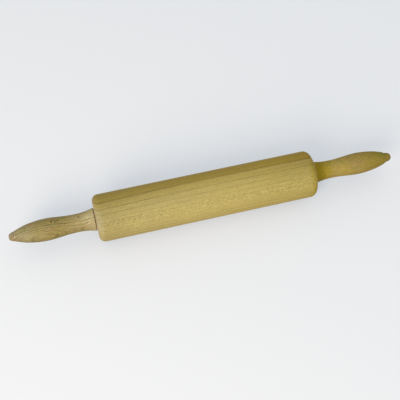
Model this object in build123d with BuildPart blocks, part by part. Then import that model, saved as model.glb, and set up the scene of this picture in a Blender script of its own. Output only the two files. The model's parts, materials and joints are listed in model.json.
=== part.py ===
"""Rolling pin whose barrel turns on a steel axle between two fixed, turned handles.

The pin lies along X with its middle at X = 0 and the lowest line of the barrel at Z = 0. All sizes are in
millimetres. Left means -X and right means +X.
"""

import os

from build123d import *

# Barrel
barrel_length = 250
barrel_diameter = 53
barrel_rim_radius = 7
bore_clearance = 1

# Handle, measured outwards from its base along the pin's axis
handle_length = 94.4
handle_base_diameter = 25.8
handle_base_chamfer = 0.6
neck_diameter = 20.4
neck_distance = 17.5
neck_length = 7.5
belly_diameter = 24.5
belly_distance = 50
belly_length = 6.5
crown_diameter = 21.9
crown_distance = 70
taper_diameter = 17
taper_distance = 80.5

# Nib that the lathe leaves at the handle's tip, behind a fine groove
nib_length = 7
nib_root_diameter = 12.2
nib_end_diameter = 8.6
nib_chamfer = 1.4
nib_step = 0.5
groove_width = 0.9
groove_depth = 0.8

# Axle, with a shoulder where each thinner threaded end begins
axle_diameter = 8
axle_end_diameter = 6
axle_end_length = 24
axle_end_chamfer = 0.8
axle_hole_clearance = 0.25
axle_hole_spare_depth = 2

# Flanged bush in each end of the barrel
bush_length = 16
bush_wall = 2
bush_flange_diameter = 18
bush_flange_thickness = 1.6
running_clearance = 0.05
press_interference = 0.02

# Fibre thrust washer between barrel and handle, nearly as wide as the handle's base
washer_thickness = 0.6
washer_diameter = 24
washer_clearance = 0.2
end_float = 0.2

# Threaded insert in each handle's base
insert_length = 13
insert_wall = 2
insert_slot_width = 1.6
insert_slot_depth = 1.5

# Sizes that follow from the ones above
axis_height = barrel_diameter / 2
end_gap = washer_thickness + end_float
shank_length = barrel_length + 2 * end_gap
axle_length = shank_length + 2 * axle_end_length
bush_diameter = axle_diameter + 2 * (running_clearance + bush_wall)
insert_diameter = axle_end_diameter + 2 * insert_wall

up = Vector(0, 0, 1)
axis_middle = axis_height * up
sides = {"left": Vector(-1, 0, 0), "right": Vector(1, 0, 0)}


def square_plane(outward, distance):
    """A plane square to the pin's axis, facing outward, at this distance from the pin's middle."""
    return Plane(origin=axis_middle + distance * outward, x_dir=up, z_dir=outward)


def turning_plane(outward, distance):
    """The plane in which a turned profile is drawn: x runs outward along the axis and y is the radius."""
    return Plane(origin=axis_middle + distance * outward, x_dir=outward, z_dir=outward.cross(up))


def export_piece(piece, label):
    piece.label = label
    export_step(piece, f"parts/{label}.step")


os.makedirs("parts", exist_ok=True)

# Barrel: a round billet with rounded rims, a bore for the axle, and a stepped pocket for a bush in each end
with BuildPart() as barrel:
    with BuildSketch(square_plane(sides["right"], -barrel_length / 2)):
        Circle(barrel_diameter / 2)
    extrude(amount=barrel_length)
    fillet(barrel.edges().filter_by(GeomType.CIRCLE), barrel_rim_radius)
    with Locations(*[square_plane(outward, barrel_length / 2) for outward in sides.values()]):
        CounterBoreHole(
            radius=bush_diameter / 2 - press_interference,
            counter_bore_radius=bush_flange_diameter / 2,
            counter_bore_depth=bush_flange_thickness,
            depth=bush_length,
        )
    with Locations(square_plane(sides["right"], barrel_length / 2)):
        Hole(radius=axle_diameter / 2 + bore_clearance, depth=barrel_length)
export_piece(barrel.part, "barrel")

# Axle: one rod through barrel, bushes, washers and inserts
with BuildPart() as axle:
    with BuildSketch(square_plane(sides["right"], -shank_length / 2)):
        Circle(axle_diameter / 2)
    extrude(amount=shank_length)
    with BuildSketch(square_plane(sides["right"], -axle_length / 2)):
        Circle(axle_end_diameter / 2)
    extrude(amount=axle_length)
    tips = axle.edges().group_by(Axis.X)
    chamfer(tips[0] + tips[-1], axle_end_chamfer)
export_piece(axle.part, "axle")

for side, outward in sides.items():
    barrel_end = barrel_length / 2
    handle_base = barrel_end + end_gap

    # Bush: a sleeve with a flange let in flush with the barrel's end face
    with BuildPart() as bush:
        with BuildSketch(square_plane(outward, barrel_end - bush_length)):
            Circle(bush_diameter / 2)
        extrude(amount=bush_length)
        with BuildSketch(square_plane(outward, barrel_end - bush_flange_thickness)):
            Circle(bush_flange_diameter / 2)
        extrude(amount=bush_flange_thickness)
        with Locations(square_plane(outward, barrel_end)):
            Hole(radius=axle_diameter / 2 + running_clearance, depth=bush_length)
    export_piece(bush.part, f"{side}_bush")

    # Washer: lies flat on the handle's base, with the end float left to the bush
    with BuildPart() as washer:
        with BuildSketch(square_plane(outward, handle_base - washer_thickness)):
            Circle(washer_diameter / 2)
            Circle(axle_diameter / 2 + washer_clearance, mode=Mode.SUBTRACT)
        extrude(amount=washer_thickness)
    export_piece(washer.part, f"{side}_washer")

    # Insert: a threaded sleeve flush with the handle's base, slotted for the driver, stopped by the shoulder
    with BuildPart() as insert:
        with BuildSketch(square_plane(outward, handle_base)):
            Circle(insert_diameter / 2)
            Circle(axle_end_diameter / 2, mode=Mode.SUBTRACT)
        extrude(amount=insert_length)
        with BuildSketch(square_plane(outward, handle_base)):
            Rectangle(insert_slot_width, insert_diameter)
        extrude(amount=insert_slot_depth, mode=Mode.SUBTRACT)
    export_piece(insert.part, f"{side}_insert")

    # Handle: turned as flared base, narrow neck, full belly, taper and a nib, then bored for insert and axle
    with BuildPart() as handle:
        with BuildSketch(turning_plane(outward, handle_base)):
            with BuildLine():
                face = (0, handle_base_diameter / 2 - handle_base_chamfer)
                base = (handle_base_chamfer, handle_base_diameter / 2)
                neck_start = (neck_distance, neck_diameter / 2)
                neck_end = (neck_distance + neck_length, neck_diameter / 2)
                belly_start = (belly_distance, belly_diameter / 2)
                belly_end = (belly_distance + belly_length, belly_diameter / 2)
                waist = ((neck_end[0] + belly_start[0]) / 2, (neck_end[1] + belly_start[1]) / 2)
                crown = (crown_distance, crown_diameter / 2)
                taper = (taper_distance, taper_diameter / 2)
                shoulder = (handle_length - nib_length, nib_root_diameter / 2)
                groove = (shoulder[0] + groove_width / 2, shoulder[1] - groove_depth)
                nib_root = (shoulder[0] + groove_width, shoulder[1] - nib_step)
                nib_edge = (handle_length - nib_chamfer, nib_end_diameter / 2)
                nib_end = (handle_length, nib_end_diameter / 2 - nib_chamfer)
                Bezier(base, ((base[0] + neck_start[0]) / 2, neck_start[1]), neck_start)
                Line(neck_start, neck_end)
                Bezier(neck_end, ((neck_end[0] + waist[0]) / 2, neck_end[1]), waist)
                TangentArc(belly_start, waist, tangent=(-1, 0))
                Line(belly_start, belly_end)
                Bezier(belly_end, ((belly_end[0] + crown[0]) / 2, belly_end[1]), crown)
                Polyline(crown, taper, shoulder, groove, nib_root, nib_edge, nib_end)
                Polyline(nib_end, (handle_length, 0), (0, 0), face, base)
            make_face()
        revolve(axis=Axis(axis_middle, outward))
        with Locations(square_plane(-outward, -handle_base)):
            CounterBoreHole(
                radius=axle_end_diameter / 2 + axle_hole_clearance,
                counter_bore_radius=insert_diameter / 2 - press_interference,
                counter_bore_depth=insert_length,
                depth=axle_end_length + axle_hole_spare_depth,
            )
    export_piece(handle.part, f"{side}_handle")
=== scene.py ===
"""The finished look of a turned beech rolling pin: barrel, two handles, and the hardware inside them.

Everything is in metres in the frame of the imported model: the pin lies along X, the floor is Z = 0, and the
axle's line is at the height of the joint. Materials work in millimetres from the pin's own axis.
"""

import json
import math

import bmesh
import bpy
from mathutils import Matrix, Vector


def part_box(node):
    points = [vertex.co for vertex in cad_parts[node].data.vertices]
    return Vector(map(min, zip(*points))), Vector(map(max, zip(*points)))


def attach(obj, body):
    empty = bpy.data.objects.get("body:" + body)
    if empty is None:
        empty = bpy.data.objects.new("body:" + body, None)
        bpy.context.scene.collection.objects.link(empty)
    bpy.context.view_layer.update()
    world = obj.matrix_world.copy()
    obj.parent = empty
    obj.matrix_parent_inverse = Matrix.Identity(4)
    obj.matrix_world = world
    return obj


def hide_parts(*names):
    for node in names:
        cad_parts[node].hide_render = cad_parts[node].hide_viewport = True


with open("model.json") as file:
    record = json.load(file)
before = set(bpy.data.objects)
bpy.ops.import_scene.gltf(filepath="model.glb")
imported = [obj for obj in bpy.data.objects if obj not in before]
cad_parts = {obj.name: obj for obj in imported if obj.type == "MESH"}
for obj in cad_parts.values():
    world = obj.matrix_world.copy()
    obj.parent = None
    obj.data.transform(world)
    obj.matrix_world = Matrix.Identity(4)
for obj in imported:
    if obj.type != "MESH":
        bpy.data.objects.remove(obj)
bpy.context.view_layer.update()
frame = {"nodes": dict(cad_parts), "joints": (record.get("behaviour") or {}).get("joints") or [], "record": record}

MM = 0.001
AXIS_HEIGHT = frame["joints"][0]["pos_m"][2]

# Camera, at the photograph's viewing angle: angles in degrees, lens and sensor in millimetres
CAMERA_PLACE = (-0.12845, -0.47729, 0.77398)
CAMERA_ELEVATION = 56.84
CAMERA_AZIMUTH = 14.33
CAMERA_LENS = 71.97
CAMERA_SENSOR = 36

# Light and floor. The lift is added to the floor that the camera sees, and lights nothing
KEY_PLACE = (-0.95, -1.3, 0.85)
KEY_SIZE = 1.1
KEY_WATTS = 20.5
SKY_LEVEL = 0.62
BACKDROP_COLOUR = (0.9, 0.9, 0.89)
FLOOR_SIZE = 12
FLOOR_COLOUR = (0.66, 0.58, 0.48)
FLOOR_LIFT = (0.25, 0.33, 0.43)
FLOOR_ROUGHNESS = 0.9
FLOOR_SPECULAR = 0.1

# Turned surfaces: facets round the axis, and the angle in degrees from which an edge is sharp
BARREL_SEGMENTS = 256
HANDLE_SEGMENTS = 160
SMOOTH_ANGLE = 32

# A point with less radius than this lies on the axis
AXIS_TOLERANCE = 1e-9

# Barrel, inwards from its outline
RIM_RADIUS = 7 * MM
RIM_STEPS = 14
BARREL_RUN_STEPS = 60
BORE_RADIUS = 5 * MM
POCKET_RADIUS = 6.08 * MM
POCKET_DEPTH = 16 * MM
RECESS_RADIUS = 9.03 * MM
RECESS_DEPTH = 1.6 * MM

# Handle outline: distance from the base and radius, in millimetres, joined by a smooth curve
HANDLE_BODY = [
    (0.6, 12.9),
    (3.8, 12.0),
    (8.9, 11.0),
    (15.4, 10.3),
    (22.4, 10.15),
    (30.4, 10.45),
    (39.4, 11.3),
    (47.4, 12.05),
    (54.4, 12.25),
    (61.4, 11.9),
    (69.4, 10.95),
    (76.4, 9.6),
]
HANDLE_TAPER = {"left": [(83.2, 7.5), (88.2, 5.65)], "right": [(81.9, 8.1), (85.6, 6.8), (87.2, 5.75)]}
NIB = {
    "left": [(88.9, 5.4), (90.6, 4.85), (92.2, 4.2), (93.4, 3.4)],
    "right": [(87.8, 5.45), (90.2, 5.05), (91.7, 4.65), (93.1, 3.95)],
}
NIB_GROOVE_DEPTH = 0.18 * MM
CURVE_STEPS = 9
NIB_STEPS = 6

# How fast the radius is taken to fall where a mark lies on a handle's taper
TAPER_SLOPE = 0.3

# Holes in a handle's base
INSERT_HOLE_RADIUS = 5.03 * MM
INSERT_HOLE_DEPTH = 13 * MM
AXLE_HOLE_RADIUS = 3.25 * MM
AXLE_HOLE_DEPTH = 26 * MM

# Marks of the turner's chisel, which grow from their reach towards a handle's tip
CHISEL_PITCH = 2.1 * MM
CHISEL_DEPTH = 0.035 * MM
CHISEL_REACH = 15 * MM
CHISEL_FULL = 2 * MM
CHISEL_SHADE = 0.05

# Fine waves that the lathe leaves along a handle, in radians to a millimetre
LATHE_WAVES = 7.5

# Gloss of bare wood, and the height of its grain and of the texture of the other materials
WOOD_IOR = 1.46
WOOD_SPECULAR = 0.06
WOOD_BUMP = 0.05 * MM
FINE_BUMP = 0.01 * MM
METAL_DULL = 0.88

# Short waves in the rings, as a share of how far they stray, and how far the rays bend, in millimetres
WAVE_SHARE = 0.22
RAY_BEND = 0.8

# The shares of a growth ring's line and of a ray that are at full strength
RING_CORE_SHARE = 0.15
RAY_CORE_SHARE = 0.55

# Wood of the barrel, as Timber takes it, and its colours. Tones are places along X and the colour there
BARREL_WOOD = {
    "facing": 53,
    "pith": 250,
    "lean": 0,
    "bow": 5.6e-5,
    "bow_middle": 26,
    "wander": 0.6,
    "seed": 3.1,
}
BARREL_TONES = [(-122, (0.472, 0.37, 0.138)), (-80, (0.487, 0.386, 0.142)), (120, (0.487, 0.375, 0.102))]
# The band is a darker growth ring, and its tones also hold painted shade of the top, which turns from the lamp
BAND_TONES = [(-120, (0.43, 0.32, 0.076)), (20, (0.39, 0.281, 0.059)), (120, (0.43, 0.3, 0.05))]
# Painted shade that deepens over the top towards the band
BESIDE_BAND_SHADE = (0.467, 0.348, 0.093)
CLOUD_COLOUR = (0.472, 0.374, 0.122)
# The left rim is paler end wood, with painted light on its near, upper side towards the lamp
LEFT_RIM_COLOUR = (0.5, 0.423, 0.228)
# Painted shade, yellow with warm bounce, on the right rim where it turns from the lamp
RIGHT_RIM_SHADE = (0.422, 0.314, 0.033)
BARREL_END_COLOUR = (0.54, 0.41, 0.19)

# Growth rings of the barrel: place outwards from the pith's side, slope along X, width and strength
BARREL_RINGS = [
    (23.75, 0.001, 0.9, 1.1),
    (18.45, 0, 0.7, 1.05),
    (13.45, -0.0039, 0.7, 0.75),
    (8.55, -0.007, 0.7, 0.5),
    (4.6, -0.0107, 0.7, 0.38),
    (0.8, -0.011, 0.7, 0.25),
    (-5.9, -0.018, 0.8, 0.28),
    (-11, -0.018, 0.8, 0.5),
    (-15.5, -0.018, 0.8, 0.7),
    (-20.5, -0.018, 0.8, 0.9),
]

# A small dark spot by the barrel's right rim: place along X, degrees, radius, length and width
BARREL_SPOT = (118, 149, 26, 0.9, 1.7)
BARREL_SPOT_SHADE = 0.42

# Growth rings of the handles, as for the barrel
LEFT_RINGS = [
    (2, 0, 0.5, 0.45),
    (4.46, 0, 0.65, 1),
    (6.78, 0, 0.55, 0.85),
    (8.5, 0, 0.45, 0.6),
    (9.64, 0, 0.4, 0.35),
    (11.2, 0, 0.45, 0.5),
    (12.9, 0, 0.4, 0.2),
]
LEFT_RINGS += [(step * -1.9, 0, 0.45, 0.8) for step in range(7)]
RIGHT_RINGS = [(step * 2.3 - 22, 0, 0.55, 0.6) for step in range(20)]

# Tones of the handles: distance from the base and the colour there. The left handle's paler base and tip are
# partly painted light, where they face the lamp. The right handle's dark olive base is a painted shadow of the
# barrel with its warm bounce, and its darkening towards the tip is partly painted shade
LEFT_TONES = [
    (0, (0.54, 0.45, 0.222)),
    (16, (0.427, 0.334, 0.136)),
    (42, (0.341, 0.262, 0.082)),
    (58, (0.343, 0.266, 0.095)),
    (80, (0.371, 0.302, 0.145)),
    (92, (0.372, 0.292, 0.153)),
]
RIGHT_TONES = [
    # Painted shadow of the barrel, with its warm bounce, to about 14 mm from the base
    (1.5, (0.385, 0.276, 0.015)),
    (7, (0.304, 0.219, 0.013)),
    (10, (0.322, 0.233, 0.018)),
    (14, (0.374, 0.271, 0.03)),
    (26, (0.422, 0.308, 0.07)),
    (54, (0.36, 0.257, 0.062)),
    (78, (0.32, 0.235, 0.039)),
    (92, (0.275, 0.204, 0.034)),
]
HANDLE_END_COLOUR = (0.45, 0.31, 0.19)

PINK_BROWN = (0.37, 0.235, 0.115)
GREY_GREEN = (0.295, 0.272, 0.095)
DARK_BROWN = (0.16, 0.105, 0.035)
PALE_GREY = (0.48, 0.4, 0.25)
OLIVE = (0.21, 0.215, 0.035)
STRAW = (0.6, 0.51, 0.27)

# Marks in the handles' wood, with some of painted light and shade: colour, distance from the base, degrees,
# length, width, tilt and strength
LEFT_MARKS = [
    (PINK_BROWN, 50, 125, 11, 4.5, 0, 0.5),
    (PINK_BROWN, 69, 77, 6, 3.6, 0, 0.85),
    (PINK_BROWN, 3, 110, 4, 14, 0, 0.2),
    (PINK_BROWN, 24, 165, 12, 4, 0, 0.5),
    # Painted shade below the base
    (PINK_BROWN, 7, 163, 14, 8, 0, 0.45),
    (PINK_BROWN, 90, 166, 8, 6, 0, 0.7),
    (GREY_GREEN, 77, 97, 8, 3.4, 0, 0.9),
    (GREY_GREEN, 35, 73, 6.5, 4.4, 0, 0.9),
    (GREY_GREEN, 54, 90, 5, 3, 0, 0.4),
    # Painted light over the top of the base
    (STRAW, 8, 100, 15, 10, 0, 0.4),
    (STRAW, 9, 104, 12, 0.9, 4, 0.5),
    (STRAW, 14, 93, 10, 0.8, 4, 0.45),
    (PALE_GREY, 58, 153, 9, 3.4, 0, 0.2),
    (PALE_GREY, 78, 128, 6, 4, 0, 0.15),
    (DARK_BROWN, 51, 101.5, 8, 0.8, 5, 0.8),
    (DARK_BROWN, 38, 105.5, 4, 0.8, 8, 0.7),
    (DARK_BROWN, 31.9, 109, 2.4, 1, 0, 0.75),
    (DARK_BROWN, 16.8, 83, 1.1, 2.7, 0, 1.3),
    (DARK_BROWN, 8.9, 132, 2.4, 0.9, 0, 0.6),
    (DARK_BROWN, 10, 115, 8, 0.8, 0, 0.5),
    (DARK_BROWN, 14, 98, 7, 0.7, 4, 0.45),
    (DARK_BROWN, 20, 107, 7, 0.7, 4, 0.45),
    (DARK_BROWN, 67.2, 99.5, 2, 0.8, 20, 0.6),
    (DARK_BROWN, 63, 99, 1.6, 0.7, 20, 0.45),
    (DARK_BROWN, 67.2, 112, 2.2, 0.8, 15, 0.6),
    (DARK_BROWN, 61.9, 112, 2.4, 0.7, 5, 0.45),
    (DARK_BROWN, 58.9, 121.5, 2, 0.8, 20, 0.55),
    (DARK_BROWN, 62.3, 122, 1.6, 0.7, 20, 0.4),
    (DARK_BROWN, 53.4, 131.5, 2.8, 0.8, 20, 0.5),
    (DARK_BROWN, 75.4, 84, 1, 1.6, 0, 0.5),
    (DARK_BROWN, 63, 86, 1.3, 1.4, 0, 0.45),
    (DARK_BROWN, 31, 91, 1.8, 1.1, 0, 0.45),
    (DARK_BROWN, 42.1, 166, 1.4, 4, 8, 0.55),
    (DARK_BROWN, 33.2, 168, 1.4, 4, -8, 0.5),
    (DARK_BROWN, 69.9, 172, 1, 3, 0, 0.4),
    (DARK_BROWN, 88.6, 157, 1.1, 2.6, 8, 1),
    (DARK_BROWN, 88.8, 116, 1, 1.6, 0, 0.7),
    (DARK_BROWN, 86.5, 104, 1, 2, 0, 0.4),
    (DARK_BROWN, 91.6, 138, 0.8, 2, 0, 0.5),
    (DARK_BROWN, 79.3, 143, 0.9, 1.2, 0, 0.35),
    # Painted highlight on the tip, which faces the lamp
    (PALE_GREY, 88.2, 133, 1.4, 2.8, 15, 1.3),
    (PALE_GREY, 66.9, 81, 1.2, 1.6, 0, 0.4),
    (PALE_GREY, 67.4, 105, 2.4, 0.9, 15, 0.5),
    (PALE_GREY, 59.8, 115, 1.8, 0.9, 20, 0.4),
    (PALE_GREY, 53.5, 107.5, 5, 0.8, 5, 0.4),
    (PALE_GREY, 43.6, 111, 3, 0.8, 10, 0.4),
    (PALE_GREY, 35.5, 114, 4, 0.8, 10, 0.35),
    (PALE_GREY, 20.4, 123, 2, 1, 0, 0.4),
    (PALE_GREY, 29.4, 136, 3.2, 1.3, 15, 0.4),
    (PALE_GREY, 9.6, 125, 5.5, 0.8, 0, 0.45),
    (DARK_BROWN, 46.4, 84, 1.3, 4, 0, 1.3),
    (DARK_BROWN, 43.3, 78.5, 2, 1.3, 20, 1.1),
    (DARK_BROWN, 42.6, 92.5, 2.1, 1.3, 15, 1.4),
    (DARK_BROWN, 39.7, 86, 1.8, 1.5, 0, 0.8),
    (PALE_GREY, 44.1, 85.5, 1.2, 1.7, 0, 0.7),
]
RIGHT_MARKS = [
    (PINK_BROWN, 48, 120, 11, 5, -15, 0.4),
    (PINK_BROWN, 20, 172, 9, 3, 0, 0.4),
    (PINK_BROWN, 43, 76, 5, 2.4, -15, 0.5),
    (GREY_GREEN, 50, 152, 8, 3.2, -20, 0.45),
    (OLIVE, 80, 92, 9, 5, 0, 0.75),
    (OLIVE, 33, 86, 4, 3, 0, 0.4),
    (OLIVE, 76, 165, 6, 1.2, 35, 0.3),
    (DARK_BROWN, 40, 79, 1.5, 0.6, -15, 0.6),
    (DARK_BROWN, 43.5, 77, 1.5, 0.6, -15, 0.6),
    (DARK_BROWN, 46.2, 74, 1.2, 0.7, -15, 0.6),
    (DARK_BROWN, 43.6, 141, 1.2, 0.9, 0, 0.35),
    (DARK_BROWN, 53.6, 104, 0.9, 0.8, 0, 0.4),
    (DARK_BROWN, 75.5, 160, 1.3, 2, 25, 0.4),
    # Painted shade below the base
    (DARK_BROWN, 8, 172, 9, 6, 0, 0.22),
    (DARK_BROWN, 25.6, 140, 0.8, 4, 0, 0.25),
    (DARK_BROWN, 35.8, 102, 0.8, 3.4, 0, 0.25),
    (DARK_BROWN, 54.2, 118, 0.9, 1.2, 0, 0.35),
    (DARK_BROWN, 61.9, 147, 0.8, 2.2, 0, 0.3),
    (DARK_BROWN, 67.6, 166, 1.1, 1.6, 25, 0.4),
    (PALE_GREY, 52.2, 165, 1.1, 1.6, 0, 0.4),
    (PALE_GREY, 25.8, 119, 0.9, 1.2, 0, 0.35),
    (PALE_GREY, 76.3, 146, 1, 2.4, 20, 0.3),
]

# What beech_handle takes for each handle
HANDLE_LOOKS = {
    "left": {
        "timber": {
            "facing": 170.8,
            "pith": 147,
            "lean": -0.0339,
            "bow": -0.00014,
            "bow_middle": -181.2,
            "wander": 0.5,
            "seed": 11.3,
        },
        "rings": LEFT_RINGS,
        "tones": LEFT_TONES,
        "marks": LEFT_MARKS,
        "ring_depth": 0.3,
        "grain_depth": 1.1,
        "mottle": 0.3,
        # How far painted shade darkens the handle below
        "underside": 0.17,
    },
    "right": {
        "timber": {
            "facing": 60,
            "pith": 100,
            "lean": -0.28,
            "bow": 0,
            "bow_middle": 181.2,
            "wander": 1.2,
            "seed": 27.9,
        },
        "rings": RIGHT_RINGS,
        "tones": RIGHT_TONES,
        "marks": RIGHT_MARKS,
        "ring_depth": 0.14,
        "grain_depth": 0.9,
        "mottle": 0.25,
        # How far painted shade darkens the handle below
        "underside": 0.04,
    },
}


class Field:
    """A value that varies over a surface. Arithmetic on it adds shader nodes."""

    def __init__(self, tree, socket):
        self.tree = tree
        self.socket = socket

    def _math(self, operation, *values):
        node = self.tree.nodes.new("ShaderNodeMath")
        node.operation = operation
        for slot, value in zip(node.inputs, values):
            connect(self.tree, slot, value)
        return Field(self.tree, node.outputs[0])

    def __add__(self, other):
        return self._math("ADD", self, other)

    def __radd__(self, other):
        return self._math("ADD", other, self)

    def __sub__(self, other):
        return self._math("SUBTRACT", self, other)

    def __rsub__(self, other):
        return self._math("SUBTRACT", other, self)

    def __mul__(self, other):
        return self._math("MULTIPLY", self, other)

    def __truediv__(self, other):
        return self._math("DIVIDE", self, other)

    def sqrt(self):
        return self._math("SQRT", self)

    def absolute(self):
        return self._math("ABSOLUTE", self)

    def sine(self):
        return self._math("SINE", self)

    def step(self, start, end):
        """0 before start and 1 after end, smoothly, or the other way round where start is the larger."""
        node = self.tree.nodes.new("ShaderNodeMapRange")
        node.interpolation_type = "SMOOTHSTEP"
        connect(self.tree, node.inputs["Value"], self)
        node.inputs["From Min"].default_value = min(start, end)
        node.inputs["From Max"].default_value = max(start, end)
        node.inputs["To Min"].default_value = 0 if start < end else 1
        node.inputs["To Max"].default_value = 1 if start < end else 0
        return Field(self.tree, node.outputs["Result"])


def connect(tree, slot, value):
    if isinstance(value, Field):
        tree.links.new(value.socket, slot)
    else:
        slot.default_value = value


def parts(place):
    """The three numbers of a vector."""
    node = place.tree.nodes.new("ShaderNodeSeparateXYZ")
    place.tree.links.new(place.socket, node.inputs[0])
    return [Field(place.tree, socket) for socket in node.outputs]


def vector(tree, x, y, z):
    node = tree.nodes.new("ShaderNodeCombineXYZ")
    for slot, value in zip(node.inputs, (x, y, z)):
        connect(tree, slot, value)
    return Field(tree, node.outputs[0])


def noise(tree, place, detail=2):
    """Soft noise from 0 to 1, whose grains are one unit of place across."""
    node = tree.nodes.new("ShaderNodeTexNoise")
    connect(tree, node.inputs["Vector"], place)
    node.inputs["Scale"].default_value = 1
    node.inputs["Detail"].default_value = detail
    return Field(tree, node.outputs["Fac"])


def cells(tree, place):
    """Distance from place to the nearest of scattered points, one unit apart, and a value of that point."""
    node = tree.nodes.new("ShaderNodeTexVoronoi")
    connect(tree, node.inputs["Vector"], place)
    node.inputs["Scale"].default_value = 1
    apart = tree.nodes.new("ShaderNodeSeparateColor")
    tree.links.new(node.outputs["Color"], apart.inputs[0])
    return Field(tree, node.outputs["Distance"]), Field(tree, apart.outputs[0])


def mix(tree, amount, first, second):
    """first where amount is 0 and second where it is 1. Both are colours."""
    node = tree.nodes.new("ShaderNodeMix")
    node.data_type = "RGBA"
    connect(tree, node.inputs[0], amount)
    for slot, value in ((node.inputs[6], first), (node.inputs[7], second)):
        connect(tree, slot, value if isinstance(value, Field) else (*value, 1))
    return Field(tree, node.outputs[2])


def scaled(tree, colour, amount):
    """colour, or a place, multiplied by amount."""
    node = tree.nodes.new("ShaderNodeVectorMath")
    node.operation = "SCALE"
    connect(tree, node.inputs[0], colour)
    connect(tree, node.inputs["Scale"], amount)
    return Field(tree, node.outputs[0])


def place_on_piece(tree, unit=1):
    """Place from the piece's own origin, in units of this many millimetres."""
    coordinates = tree.nodes.new("ShaderNodeTexCoord")
    return scaled(tree, Field(tree, coordinates.outputs["Object"]), 1 / (unit * MM))


def facing_along(tree):
    """How far the surface faces along the pin: 1 on an end face and 0 on a cylinder."""
    coordinates = tree.nodes.new("ShaderNodeTexCoord")
    return parts(Field(tree, coordinates.outputs["Normal"]))[0].absolute()


def new_material(name):
    material = bpy.data.materials.new(name)
    material.use_nodes = True
    tree = material.node_tree
    tree.nodes.clear()
    shader = tree.nodes.new("ShaderNodeBsdfPrincipled")
    output = tree.nodes.new("ShaderNodeOutputMaterial")
    tree.links.new(shader.outputs[0], output.inputs["Surface"])
    return material, tree, shader


def add_bump(tree, shader, height, depth):
    """Raises the surface by height times depth, in metres."""
    node = tree.nodes.new("ShaderNodeBump")
    node.inputs["Strength"].default_value = 1
    node.inputs["Distance"].default_value = depth
    connect(tree, node.inputs["Height"], height)
    tree.links.new(node.outputs[0], shader.inputs["Normal"])


class Timber:
    """Coordinates in the wood: along the grain, out from the pith and round the rings, in millimetres.

    facing is the direction across the pin, in degrees from +Y towards +Z, in which the rings face. The rings
    are circles round a pith that lies this far behind the pin's axis. lean and bow tip and bend the rings
    along X, and wander is how far they stray.
    """

    def __init__(self, tree, facing, pith, lean, bow, bow_middle, wander, seed):
        self.tree = tree
        self.seed = seed
        self.place = place_on_piece(tree)
        self.x, self.y, self.z = parts(self.place)
        self.end = facing_along(tree)
        across, up = math.cos(math.radians(facing)), math.sin(math.radians(facing))
        straight = self.y * across + self.z * up
        self.side = self.z * across - self.y * up
        slow = self.cloud(along=0.012, across=0.05, shift=seed, detail=1)
        wave = self.cloud(along=0.07, across=0.25, shift=seed)
        turned = ((straight + pith) * (straight + pith) + self.side * self.side).sqrt() - pith
        away = self.x - bow_middle
        self.out = turned + away * lean + away * away * bow
        self.out = self.out + (slow - 0.5) * wander + (wave - 0.5) * wander * WAVE_SHARE

    def cloud(self, along, across, shift=0, detail=2):
        """Soft patches, this many to a millimetre along the pin and across it."""
        place = vector(self.tree, self.x * along + shift, self.y * across, self.z * across)
        return noise(self.tree, place, detail=detail)

    def drift(self, along, outward, shift=0, detail=2):
        """Slow changes, this many to a millimetre along the grain and from ring to ring."""
        return noise(self.tree, vector(self.tree, self.x * along, self.out * outward, shift), detail=detail)

    def grain(self, length, width, detail=2, shift=0):
        """Streaks along the grain, this long and wide."""
        place = vector(self.tree, self.x / length + shift + self.seed, self.out / width, self.side / width)
        return noise(self.tree, place, detail=detail)

    def rays(self, height, thickness, depth, fill, shift=0):
        """The wood's rays: thin plates that run out from the pith. 1 inside a ray, and its own value."""
        slow = vector(self.tree, self.x * 0.3, self.out * 0.2, self.side * 0.3 + shift)
        round_pith = self.side + noise(self.tree, slow, detail=1) * RAY_BEND
        place = vector(self.tree, self.x / height + shift, self.out / depth, round_pith / thickness)
        distance, own = cells(self.tree, place)
        return distance.step(fill, fill * RAY_CORE_SHARE), own

    def quarter_sawn(self, start, end):
        """1 where the surface runs out from the pith, so that the rays show their broad sides."""
        reach = (self.out * self.out + self.side * self.side).sqrt()
        return (self.side.absolute() / reach).step(start, end)

    def away_from(self, along, degrees, radius, length, width, tilt=0):
        """Distance from a place on the surface, 1 at the edge of an oval this long and this wide.

        The length is along the pin, and tilt turns the oval on the surface, in degrees.
        """
        turn = Matrix.Rotation(math.radians(degrees), 3, "X") @ Matrix.Rotation(math.radians(tilt), 3, "Y")
        centre = (along, radius * math.cos(math.radians(degrees)), radius * math.sin(math.radians(degrees)))
        node = self.tree.nodes.new("ShaderNodeMapping")
        node.vector_type = "TEXTURE"
        connect(self.tree, node.inputs["Vector"], self.place)
        node.inputs["Location"].default_value = centre
        node.inputs["Rotation"].default_value = turn.to_euler("XYZ")
        node.inputs["Scale"].default_value = (length, max(length, width), width)
        reach = self.tree.nodes.new("ShaderNodeVectorMath")
        reach.operation = "LENGTH"
        self.tree.links.new(node.outputs[0], reach.inputs[0])
        return Field(self.tree, reach.outputs["Value"])


def ring_lines(wood, rings):
    """Latewood lines of growth rings, each with its place outwards, slope along X, width and strength."""
    total = 0
    for place, slope, width, strength in rings:
        away = (wood.out - wood.x * slope - place).absolute()
        total = total + away.step(width, width * RING_CORE_SHARE) * strength
    return total


def tones_along(tree, field, stops):
    """A colour that changes along a field, each stop a value of the field and a colour."""
    colour = stops[0][1]
    for (start, _), (end, after) in zip(stops, stops[1:]):
        colour = mix(tree, field.step(start, end), colour, after)
    return colour


def finish_wood(tree, shader, colour, shade, roughness, height):
    """Gives the shader colour times shade, roughness, the gloss of bare wood and the height of its grain."""
    connect(tree, shader.inputs["Base Color"], scaled(tree, colour, shade))
    connect(tree, shader.inputs["Roughness"], roughness)
    shader.inputs["IOR"].default_value = WOOD_IOR
    shader.inputs["Specular IOR Level"].default_value = WOOD_SPECULAR
    add_bump(tree, shader, height, WOOD_BUMP)


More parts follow.
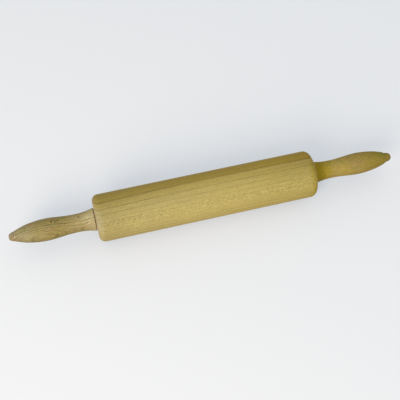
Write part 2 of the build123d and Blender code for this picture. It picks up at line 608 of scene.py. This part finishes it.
def barrel_colour(tree, wood, cloud):
    """Beech with a pale left rim, a yellow right rim and a brown band, whose edge is a growth ring.

    The left rim's paleness is partly painted light on its side towards the lamp. The right rim's darker yellow is
    painted shade with warm bounce. Painted shade deepens towards the band, and the band's tone holds painted shade
    too.
    """
    # Painted light on the left rim's near, upper side, which faces the lamp
    pale = wood.y.step(0, -16) * (0.3 + wood.z.step(2, 13) * 0.7)
    colour = tones_along(tree, wood.x, BARREL_TONES)
    colour = mix(tree, cloud.step(0.35, 0.65) * 0.6, colour, CLOUD_COLOUR)
    colour = mix(tree, wood.x.step(-115, -124) * (0.22 + pale * 0.68), colour, LEFT_RIM_COLOUR)
    colour = mix(tree, wood.x.step(114, 123) * 0.85, colour, RIGHT_RIM_SHADE)
    colour = mix(tree, wood.out.step(16, 22.5) * 0.7, colour, BESIDE_BAND_SHADE)
    return mix(tree, wood.out.step(23.1, 24.6), colour, tones_along(tree, wood.x, BAND_TONES))


def beech_barrel():
    material, tree, shader = new_material("barrel_beech")
    wood = Timber(tree, **BARREL_WOOD)
    cloud = wood.cloud(along=0.018, across=0.04)
    colour = barrel_colour(tree, wood, cloud)
    late = ring_lines(wood, BARREL_RINGS)
    fibre = wood.grain(length=60, width=1.2)
    fine = wood.grain(length=11, width=0.6, shift=5)
    pores = wood.grain(length=2.2, width=0.09, detail=0, shift=9).step(0.62, 0.74)
    fade = 0.75 + wood.drift(along=0.045, outward=0.3, shift=4.2).step(0.3, 0.7) * 0.5

    # Darker towards both ends, and painted shade at the right end, where the lamp's light falls off: on its far
    # side and in a strip along its top
    middle = (wood.x - 12) / 130
    shade = 1.01 - middle * middle * 0.145
    shade = shade + (fibre - 0.5) * 0.3 + (fine - 0.5) * 0.34 - pores * 0.05
    shade = shade - late * fade * 0.22 - wood.x.step(70, 115) * wood.y.step(-14, 0) * 0.07
    shade = shade - wood.x.step(40, 100) * wood.y.step(-19, -12) * wood.y.step(2, -3) * 0.055

    # Rays: flecks, pale or dark, where the surface is quarter sawn, and dark dashes elsewhere
    quarter = wood.quarter_sawn(0.9, 0.995)
    fleck, own = wood.rays(height=1.25, thickness=0.3, depth=1.1, fill=0.62)
    dash, _ = wood.rays(height=2.2, thickness=0.9, depth=0.9, fill=0.5, shift=31)
    patchy = 0.75 + wood.drift(along=0.03, outward=0.12, shift=8.7).step(0.35, 0.65) * 0.4
    shade = shade + fleck * quarter * patchy * (own - 0.48) * 0.66 - (dash - 0.2) * (1 - quarter) * 0.16

    # End grain, with the marks of the saw
    end_grain = wood.end.step(0.35, 0.95)
    sawn = (wood.y * 4.1 + wood.z * 1.4 + (cloud - 0.5) * 12).sine() * end_grain
    colour = mix(tree, end_grain * 0.5, colour, BARREL_END_COLOUR)
    shade = shade * (1 + end_grain * 0.06 + sawn * 0.05)
    shade = shade - wood.away_from(*BARREL_SPOT).step(1, 0.3) * BARREL_SPOT_SHADE

    roughness = 0.58 + (fine - 0.5) * 0.12 - fleck * quarter * 0.12
    height = fine * 0.5 + fibre * 0.3 - pores * 0.8 - late * 0.3
    finish_wood(tree, shader, colour, shade, roughness, height)
    return material


def handle_ends(side):
    """Where a handle's base and tip lie along X, in metres, and the sign of the way from one to the other."""
    low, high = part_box(f"{side}_handle")
    return (high.x, low.x, -1) if side == "left" else (low.x, high.x, 1)


def handle_radius(distance):
    """Radius of a handle at a distance from its base, both in millimetres."""
    for (start, before), (end, after) in zip(HANDLE_BODY, HANDLE_BODY[1:]):
        if distance <= end:
            return before + (after - before) * (distance - start) / (end - start)
    return HANDLE_BODY[-1][1] - (distance - HANDLE_BODY[-1][0]) * TAPER_SLOPE


def beech_handle(side, timber, rings, tones, marks, ring_depth, grain_depth, mottle, underside):
    """Beech of one handle. Its tones change from the base to the tip, and rings are its strong growth rings.

    mottle is how far the wood drifts to pinkish and greenish patches, and the last argument is how far
    painted shade darkens it below.
    """
    base, tip, sign = handle_ends(side)
    base_place = base / MM
    material, tree, shader = new_material(f"{side}_handle_beech")
    wood = Timber(tree, **timber)
    distance = (wood.x - base_place) * sign
    cloud = wood.cloud(along=0.05, across=0.09, shift=wood.seed)
    late = ring_lines(wood, rings)
    fibre = wood.grain(length=26, width=0.85)
    fine = wood.grain(length=7, width=0.5, shift=5)
    pores = wood.grain(length=1.8, width=0.08, detail=0, shift=9).step(0.62, 0.74)
    fade = 0.5 + wood.drift(along=0.08, outward=0.7, detail=1).step(0.3, 0.7)
    shade = 1 + (cloud - 0.5) * 0.08 + (fibre - 0.5) * 0.42 + (fine - 0.5) * grain_depth - pores * 0.06
    # Ring lines, and painted shade below, where little light comes up to it
    shade = shade - late * fade * ring_depth - wood.z.step(8, -2) * underside

    # Rays, as in the barrel
    quarter = wood.quarter_sawn(0.86, 0.985)
    fleck, own = wood.rays(height=1.8, thickness=0.3, depth=3, fill=0.5, shift=4)
    shade = shade + fleck * quarter * (own - 0.4) * 0.2 - fleck * (1 - quarter) * 0.08

    # Tones, then patches between neck and belly, then single marks
    pink = noise(tree, vector(tree, wood.x * 0.13 + 7, wood.out * 0.3, wood.side * 0.3))
    patchy = distance.step(62, 45) * distance.step(8, 26) * mottle
    colour = tones_along(tree, distance, tones)
    colour = mix(tree, pink.step(0.5, 0.66) * patchy, colour, PINK_BROWN)
    colour = mix(tree, pink.step(0.5, 0.36) * patchy, colour, GREY_GREEN)
    for tone, along, degrees, length, width, tilt, strength in marks:
        place = (base_place + sign * along, degrees, handle_radius(along))
        reach = wood.away_from(*place, length, width, tilt * sign)
        colour = mix(tree, reach.step(1, 0) * strength, colour, tone)
    colour = mix(tree, wood.end.step(0.5, 0.95) * 0.5, colour, HANDLE_END_COLOUR)

    # Marks of the tools
    to_tip = abs(tip - base) / MM - distance
    near = to_tip.step(CHISEL_REACH / MM, CHISEL_FULL / MM)
    shade = shade + (to_tip * (2 * math.pi * MM / CHISEL_PITCH)).sine() * near * CHISEL_SHADE
    lathe = (wood.x * LATHE_WAVES).sine() * 0.12

    roughness = 0.56 + (fine - 0.5) * 0.14
    height = fine * 0.5 + fibre * 0.4 - pores * 0.8 - late * 0.4 + lathe
    finish_wood(tree, shader, colour, shade, roughness, height)
    return material


def metal(name, colour, roughness, brushed):
    """Turned metal, whose fine rings along X vary its roughness by brushed."""
    material, tree, shader = new_material(name)
    x, y, z = parts(place_on_piece(tree))
    turned = noise(tree, vector(tree, x * 14, y * 0.4, z * 0.4))
    cloud = noise(tree, vector(tree, x * 0.5, y * 0.5, z * 0.5), detail=3)
    dull = tuple(channel * METAL_DULL for channel in colour)
    connect(tree, shader.inputs["Base Color"], mix(tree, cloud, colour, dull))
    connect(tree, shader.inputs["Roughness"], roughness + (turned - 0.5) * brushed + (cloud - 0.5) * 0.1)
    shader.inputs["Metallic"].default_value = 1
    add_bump(tree, shader, turned, FINE_BUMP)
    return material


def speckled(name, colour, other, roughness, ior, grain):
    """A plain moulded or pressed material of two close colours, in specks of this size in millimetres."""
    material, tree, shader = new_material(name)
    speckle = noise(tree, place_on_piece(tree, unit=grain))
    connect(tree, shader.inputs["Base Color"], mix(tree, speckle, colour, other))
    connect(tree, shader.inputs["Roughness"], roughness + (speckle - 0.5) * 0.15)
    shader.inputs["IOR"].default_value = ior
    add_bump(tree, shader, speckle, FINE_BUMP)
    return material


def smooth_curve(points, steps):
    """Points on a smooth curve through the given ones, with this many steps between each two."""
    slopes = []
    for index in range(len(points)):
        before = points[max(index - 1, 0)]
        after = points[min(index + 1, len(points) - 1)]
        slopes.append((after[1] - before[1]) / (after[0] - before[0]))
    result = [points[0]]
    for (x0, r0), (x1, r1), s0, s1 in zip(points, points[1:], slopes, slopes[1:]):
        width = x1 - x0
        for step in range(1, steps + 1):
            t = step / steps
            radius = (2 * t**3 - 3 * t**2 + 1) * r0 + (t**3 - 2 * t**2 + t) * width * s0
            radius += (3 * t**2 - 2 * t**3) * r1 + (t**3 - t**2) * width * s1
            result.append((x0 + t * width, radius))
    return result


def arc(centre, radius, start, end, steps):
    """Points of an arc in an outline, from start to end in degrees from the outward direction."""
    points = []
    for step in range(steps + 1):
        angle = math.radians(start + (end - start) * step / steps)
        points.append((centre[0] + radius * math.cos(angle), centre[1] + radius * math.sin(angle)))
    return points


def turn(name, outline, segments, closed, ripple=None):
    """A solid turned about the pin's axis from an outline of places along X and radii.

    A closed outline is a ring round the axis. An open one starts and ends on the axis. ripple gives what is
    added to the radius at a place along X.
    """
    vertices, faces, rows = [], [], []
    for along, radius in outline:
        if radius < AXIS_TOLERANCE:
            rows.append([len(vertices)])
            vertices.append((along, 0, 0))
            continue
        rows.append(range(len(vertices), len(vertices) + segments))
        own = radius + (ripple(along) if ripple else 0)
        for step in range(segments):
            angle = 2 * math.pi * step / segments
            vertices.append((along, own * math.cos(angle), own * math.sin(angle)))
    pairs = list(zip(rows, rows[1:])) + ([(rows[-1], rows[0])] if closed else [])
    for first, second in pairs:
        for step in range(segments):
            after = (step + 1) % segments
            corners = [first[step % len(first)], first[after % len(first)]]
            corners += [second[after % len(second)], second[step % len(second)]]
            faces.append(tuple(dict.fromkeys(corners)))
    mesh = bpy.data.meshes.new(name)
    mesh.from_pydata(vertices, [], faces)
    mesh.validate()
    mesh.shade_smooth()
    mesh.set_sharp_from_angle(angle=math.radians(SMOOTH_ANGLE))
    piece = bpy.data.objects.new(name, mesh)
    bpy.context.scene.collection.objects.link(piece)
    piece.location = (0, 0, AXIS_HEIGHT)
    return piece


def face_outward(piece):
    """Turns the faces of a closed piece to the outside."""
    shape = bmesh.new()
    shape.from_mesh(piece.data)
    bmesh.ops.recalc_face_normals(shape, faces=shape.faces)
    shape.to_mesh(piece.data)
    shape.free()


def turned_radius(node):
    """The largest radius about the pin's axis that stays inside the node's own box."""
    low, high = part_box(node)
    return min(high.y, -low.y, high.z - AXIS_HEIGHT, AXIS_HEIGHT - low.z)


def barrel_outline():
    """Outline of the barrel from its left rim over the outside to the right rim, and back inside."""
    low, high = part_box("barrel")
    radius = turned_radius("barrel")
    right = arc((high.x - RIM_RADIUS, radius - RIM_RADIUS), RIM_RADIUS, 90, 0, RIM_STEPS)
    left = [(low.x + high.x - along, across) for along, across in reversed(right)]
    run_start, run_end = left[-1][0], right[0][0]
    run = []
    for step in range(1, BARREL_RUN_STEPS):
        run.append((run_start + (run_end - run_start) * step / BARREL_RUN_STEPS, radius))
    inside = [
        (high.x, RECESS_RADIUS),
        (high.x - RECESS_DEPTH, RECESS_RADIUS),
        (high.x - RECESS_DEPTH, POCKET_RADIUS),
        (high.x - POCKET_DEPTH, POCKET_RADIUS),
        (high.x - POCKET_DEPTH, BORE_RADIUS),
    ]
    other = [(low.x + high.x - along, across) for along, across in reversed(inside)]
    return left + run + right + inside + other


def handle_outline(side):
    """Outline of a handle from the bottom of its hole, round its base and along it to its tip's middle."""
    base, end, sign = handle_ends(side)
    length = abs(end - base)
    scale = turned_radius(f"{side}_handle") / (HANDLE_BODY[0][1] * MM)
    curve = [(along * MM, across * MM * scale) for along, across in HANDLE_BODY + HANDLE_TAPER[side]]
    curve = smooth_curve(curve, CURVE_STEPS)
    nib = smooth_curve([(along * MM, across * MM) for along, across in NIB[side]], NIB_STEPS)
    groove = ((curve[-1][0] + nib[0][0]) / 2, nib[0][1] - NIB_GROOVE_DEPTH)
    (before, wider), (edge, edge_radius) = nib[-2:]
    slope = math.atan2(edge - before, wider - edge_radius)
    rounding = (length - edge) / (1 - math.cos(slope))
    middle = (edge - rounding * math.cos(slope), edge_radius - rounding * math.sin(slope))
    tip = arc(middle, rounding, math.degrees(slope), 0, NIB_STEPS)
    hole = [
        (AXLE_HOLE_DEPTH, 0),
        (AXLE_HOLE_DEPTH, AXLE_HOLE_RADIUS),
        (INSERT_HOLE_DEPTH, AXLE_HOLE_RADIUS),
        (INSERT_HOLE_DEPTH, INSERT_HOLE_RADIUS),
        (0, INSERT_HOLE_RADIUS),
    ]
    base_edge = (0, curve[0][1] - curve[0][0])
    points = hole + [base_edge] + curve + [groove] + nib + tip[1:] + [(length, 0)]
    return [(base + sign * along, across) for along, across in points]


def chisel_marks(side):
    """Faint grooves round the nib and the last of the taper, where the turner's tool was slow."""
    _, tip, _ = handle_ends(side)

    def depth(along):
        near = max(0.0, 1 - abs(tip - along) / CHISEL_REACH)
        return CHISEL_DEPTH * near * math.sin(2 * math.pi * (tip - along) / CHISEL_PITCH)

    return depth


def dress_barrel():
    piece = turn("barrel_turned", barrel_outline(), BARREL_SEGMENTS, closed=True)
    face_outward(piece)
    piece.data.materials.append(beech_barrel())
    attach(piece, "barrel")
    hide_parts("barrel")


def dress_handles():
    for side, look in HANDLE_LOOKS.items():
        name = f"{side}_handle"
        outline, ripple = handle_outline(side), chisel_marks(side)
        piece = turn(f"{name}_turned", outline, HANDLE_SEGMENTS, closed=False, ripple=ripple)
        face_outward(piece)
        piece.data.materials.append(beech_handle(side, **look))
        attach(piece, "handles")
        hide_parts(name)


def dress_hardware():
    finishes = {
        "steel": metal("steel_zinc_plated", (0.56, 0.57, 0.58), roughness=0.3, brushed=0.2),
        "brass": metal("brass_machined", (0.71, 0.54, 0.24), roughness=0.28, brushed=0.25),
        "nylon": speckled("nylon_moulded", (0.78, 0.77, 0.71), (0.82, 0.81, 0.76), 0.42, 1.53, grain=0.25),
        # The fibre's dark brown is partly painted shade: it darkens the narrow gaps between the handles and the
        # barrel
        "fibre": speckled("fibre_pressed", (0.2, 0.115, 0.06), (0.25, 0.145, 0.075), 0.7, 1.5, grain=0.4),
    }
    for entry in frame["record"]["subparts"]:
        if entry["material_slot"] in finishes:
            piece = frame["nodes"][entry["node"]]
            piece.material_slots[0].material = finishes[entry["material_slot"]]


def seen_directly(tree):
    """1 for what the camera sees, straight or in a reflection, and 0 for light that falls on the object."""
    rays = tree.nodes.new("ShaderNodeLightPath")
    seen = sum(Field(tree, rays.outputs[f"Is {kind} Ray"]) for kind in ("Camera", "Glossy", "Transmission"))
    return seen.step(0, 1)


def make_floor():
    half = FLOOR_SIZE / 2
    corners = [(-half, -half, 0), (half, -half, 0), (half, half, 0), (-half, half, 0)]
    mesh = bpy.data.meshes.new("floor")
    mesh.from_pydata(corners, [], [(0, 1, 2, 3)])
    floor = bpy.data.objects.new("floor", mesh)
    bpy.context.scene.collection.objects.link(floor)
    material, tree, shader = new_material("floor_pale")
    shader.inputs["Base Color"].default_value = (*FLOOR_COLOUR, 1)
    shader.inputs["Roughness"].default_value = FLOOR_ROUGHNESS
    shader.inputs["Specular IOR Level"].default_value = FLOOR_SPECULAR
    shader.inputs["Emission Color"].default_value = (*FLOOR_LIFT, 1)
    connect(tree, shader.inputs["Emission Strength"], seen_directly(tree))
    mesh.materials.append(material)


def make_light():
    world = bpy.data.worlds.new("studio")
    bpy.context.scene.world = world
    world.use_nodes = True
    tree = world.node_tree
    background = tree.nodes["Background"]
    level = (SKY_LEVEL, SKY_LEVEL, SKY_LEVEL)
    connect(tree, background.inputs["Color"], mix(tree, seen_directly(tree), level, BACKDROP_COLOUR))
    lamp = bpy.data.lights.new("key", "AREA")
    lamp.shape = "DISK"
    lamp.size = KEY_SIZE
    lamp.energy = KEY_WATTS
    key = bpy.data.objects.new("key", lamp)
    bpy.context.scene.collection.objects.link(key)
    key.location = KEY_PLACE
    key.rotation_euler = (-Vector(KEY_PLACE)).to_track_quat("-Z", "Y").to_euler()


def make_camera():
    data = bpy.data.cameras.new("camera")
    data.lens = CAMERA_LENS
    data.sensor_width = CAMERA_SENSOR
    camera = bpy.data.objects.new("camera", data)
    bpy.context.scene.collection.objects.link(camera)
    camera.location = CAMERA_PLACE
    camera.rotation_euler = (math.radians(90 - CAMERA_ELEVATION), 0, math.radians(-CAMERA_AZIMUTH))
    bpy.context.scene.camera = camera


dress_barrel()
dress_handles()
dress_hardware()
make_floor()
make_light()
make_camera()
bpy.context.scene.view_settings.view_transform = "Standard"
